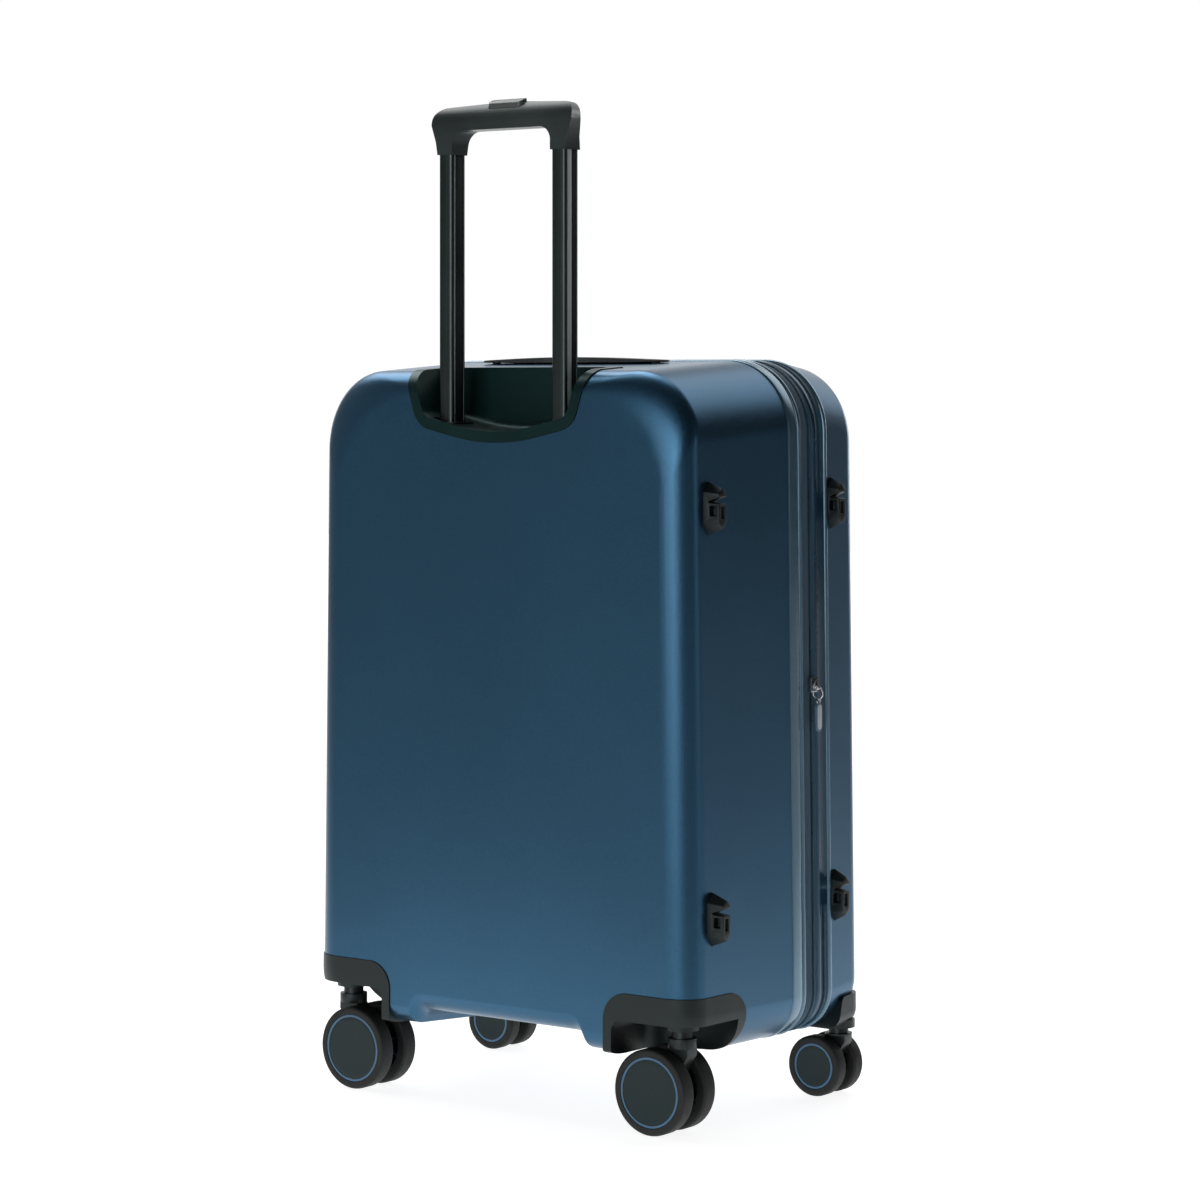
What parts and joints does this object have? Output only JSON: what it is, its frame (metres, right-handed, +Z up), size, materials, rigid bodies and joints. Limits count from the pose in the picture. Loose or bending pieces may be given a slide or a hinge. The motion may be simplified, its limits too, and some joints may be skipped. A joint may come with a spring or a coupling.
{
  "type": "hard shell suitcase",
  "caption": "Hard shell upright suitcase with a telescopic trolley handle, an expansion zip, a hinged lid and swivelling double casters.",
  "frame": {"origin": "on the floor under the middle of the case, at the bottom centre of the bounding box", "axes": "+Z up along the height, +Y towards the back with the trolley, +X towards the side with the handle and the lock"},
  "size_m": [0.464, 0.274, 0.9055],
  "materials": {
    "shell_blue": "fine grained matte polycarbonate, steel blue",
    "rim_blue": "smooth satin edge trim, lighter blue",
    "zip_tape_blue": "woven zip tape and coil, blue",
    "gusset_blue": "folded expansion fabric, dark blue",
    "lining_grey": "woven polyester lining",
    "mesh_black": "knitted mesh",
    "strap_black": "woven webbing",
    "plastic_black": "moulded black plastic, fine spark grain",
    "grip_black": "satin moulded grip",
    "button_grey": "satin moulded button",
    "tube_anodised": "dark anodised aluminium",
    "handle_rubber": "soft moulded rubber strap",
    "slider_metal": "plated zinc slider",
    "puller_blue": "moulded puller tag",
    "lock_black": "lock body",
    "dial_grey": "number dial",
    "button_metal": "brushed release button",
    "fork_black": "moulded caster fork",
    "axle_steel": "steel axle",
    "hub_grey": "moulded wheel disc",
    "tyre_black": "soft polyurethane tread",
    "ring_blue": "thin blue ring line on the wheel discs"
  },
  "bodies": {
    "case": {"back_shell": "shell_blue", "back_rim": "rim_blue", "back_lining": "lining_grey", "packing_straps": "strap_black", "strap_buckle": "plastic_black", "expander_zip_back": "zip_tape_blue", "trolley_recess": "plastic_black", "trolley_outer_tubes": "tube_anodised", "trolley_base": "plastic_black", "trolley_collars": "plastic_black", "rear_housing_left": "plastic_black", "rear_housing_right": "plastic_black", "back_side_feet": "plastic_black", "top_handle_mounts": "plastic_black", "side_handle_mounts": "plastic_black"},
    "zip_frame": {"expander_zip_front": "zip_tape_blue", "frame_band": "zip_tape_blue", "expansion_gusset": "gusset_blue", "main_zip_back": "zip_tape_blue", "zip_hinge": "gusset_blue"},
    "lid": {"main_zip_front": "zip_tape_blue", "lid_shell": "shell_blue", "lid_rim": "rim_blue", "lid_lining": "lining_grey", "lid_pocket": "mesh_black", "front_housing_left": "plastic_black", "front_housing_right": "plastic_black", "lid_side_feet": "plastic_black", "lock_housing": "lock_black"},
    "trolley_middle": {"trolley_middle_tubes": "tube_anodised"},
    "trolley_upper": {"trolley_upper_tubes": "tube_anodised", "trolley_grip": "grip_black"},
    "grip_button_body": {"grip_button": "button_grey"},
    "top_handle_body": {"top_handle": "handle_rubber"},
    "side_handle_body": {"side_handle": "handle_rubber"},
    "expander_slider_body": {"expander_slider": "slider_metal"},
    "expander_puller_body": {"expander_puller": "puller_blue"},
    "zip_slider_upper": {"main_slider_upper": "slider_metal"},
    "zip_slider_lower": {"main_slider_lower": "slider_metal"},
    "lock_button_body": {"lock_button": "button_metal"},
    "dial_lower": {"lock_dial_lower": "dial_grey"},
    "dial_middle": {"lock_dial_middle": "dial_grey"},
    "dial_upper": {"lock_dial_upper": "dial_grey"},
    "rear_left_caster": {"rear_left_fork": "fork_black", "rear_left_axle": "axle_steel"},
    "rear_left_wheel": {"rear_left_hubs": "hub_grey", "rear_left_tyres": "tyre_black"},
    "rear_right_caster": {"rear_right_fork": "fork_black", "rear_right_axle": "axle_steel"},
    "rear_right_wheel": {"rear_right_hubs": "hub_grey", "rear_right_tyres": "tyre_black"},
    "front_left_caster": {"front_left_fork": "fork_black", "front_left_axle": "axle_steel"},
    "front_left_wheel": {"front_left_hubs": "hub_grey", "front_left_tyres": "tyre_black"},
    "front_right_caster": {"front_right_fork": "fork_black", "front_right_axle": "axle_steel"},
    "front_right_wheel": {"front_right_hubs": "hub_grey", "front_right_tyres": "tyre_black"}
  },
  "joints": [
    {"name": "expansion", "type": "slide", "parent": "case", "child": "zip_frame", "axis": [0, -1, 0], "range_m": [0, 0.035], "deforming": ["expansion_gusset"]},
    {"name": "lid_hinge", "type": "hinge", "parent": "zip_frame", "child": "lid", "pos_m": [-0.231, -0.06465, 0.3665], "axis": [0, 0, -1], "range_deg": [0, 180], "deforming": ["zip_hinge"]},
    {"name": "trolley_middle_slide", "type": "slide", "parent": "case", "child": "trolley_middle", "axis": [0, 0, 1], "range_m": [0, 0.2]},
    {"name": "trolley_upper_slide", "type": "slide", "parent": "trolley_middle", "child": "trolley_upper", "axis": [0, 0, 1], "range_m": [-0.235, 0]},
    {"name": "grip_button_press", "type": "slide", "parent": "trolley_upper", "child": "grip_button_body", "axis": [0, 0, 1], "range_m": [-0.003, 0], "stiffness_N_per_m": 300},
    {"name": "top_handle_lift", "type": "slide", "parent": "case", "child": "top_handle_body", "axis": [0, 0, 1], "range_m": [0, 0.013]},
    {"name": "side_handle_lift", "type": "slide", "parent": "case", "child": "side_handle_body", "axis": [1, 0, 0], "range_m": [0, 0.006]},
    {"name": "expander_slide", "type": "slide", "parent": "case", "child": "expander_slider_body", "axis": [0.012, 0, 0.9999], "range_m": [-0.18, 0.18]},
    {"name": "expander_puller_swing", "type": "hinge", "parent": "expander_slider_body", "child": "expander_puller_body", "pos_m": [-0.224, -0.04755, 0.377], "axis": [0, 1, 0], "range_deg": [0, 170]},
    {"name": "upper_zip_slide", "type": "slide", "parent": "lid", "child": "zip_slider_upper", "axis": [-0.012, 0, 0.9999], "range_m": [0, 0.15]},
    {"name": "lower_zip_slide", "type": "slide", "parent": "lid", "child": "zip_slider_lower", "axis": [0.012, 0, -0.9999], "range_m": [0, 0.15]},
    {"name": "lock_button_press", "type": "slide", "parent": "lid", "child": "lock_button_body", "axis": [1, 0, 0], "range_m": [-0.0016, 0], "stiffness_N_per_m": 250},
    {"name": "dial_lower_turn", "type": "hinge", "parent": "lid", "child": "dial_lower", "pos_m": [0.2175, -0.096, 0.357], "axis": [0, 0, 1], "continuous": true},
    {"name": "dial_middle_turn", "type": "hinge", "parent": "lid", "child": "dial_middle", "pos_m": [0.2175, -0.096, 0.3655], "axis": [0, 0, 1], "continuous": true},
    {"name": "dial_upper_turn", "type": "hinge", "parent": "lid", "child": "dial_upper", "pos_m": [0.2175, -0.096, 0.374], "axis": [0, 0, 1], "continuous": true},
    {"name": "rear_left_swivel", "type": "hinge", "parent": "case", "child": "rear_left_caster", "pos_m": [-0.188, 0.11, 0.091], "axis": [0, 0, 1], "continuous": true},
    {"name": "rear_left_roll", "type": "hinge", "parent": "rear_left_caster", "child": "rear_left_wheel", "pos_m": [-0.1695, 0.11, 0.0375], "axis": [0, 1, 0], "continuous": true},
    {"name": "rear_right_swivel", "type": "hinge", "parent": "case", "child": "rear_right_caster", "pos_m": [0.188, 0.11, 0.091], "axis": [0, 0, 1], "continuous": true},
    {"name": "rear_right_roll", "type": "hinge", "parent": "rear_right_caster", "child": "rear_right_wheel", "pos_m": [0.1695, 0.11, 0.0375], "axis": [0, 1, 0], "continuous": true},
    {"name": "front_left_swivel", "type": "hinge", "parent": "lid", "child": "front_left_caster", "pos_m": [-0.203, -0.114, 0.0627], "axis": [0, 0, 1], "continuous": true},
    {"name": "front_left_roll", "type": "hinge", "parent": "front_left_caster", "child": "front_left_wheel", "pos_m": [-0.189, -0.114, 0.0276], "axis": [0, 1, 0], "continuous": true},
    {"name": "front_right_swivel", "type": "hinge", "parent": "lid", "child": "front_right_caster", "pos_m": [0.203, -0.114, 0.0627], "axis": [0, 0, 1], "continuous": true},
    {"name": "front_right_roll", "type": "hinge", "parent": "front_right_caster", "child": "front_right_wheel", "pos_m": [0.189, -0.114, 0.0276], "axis": [0, 1, 0], "continuous": true}
  ]
}
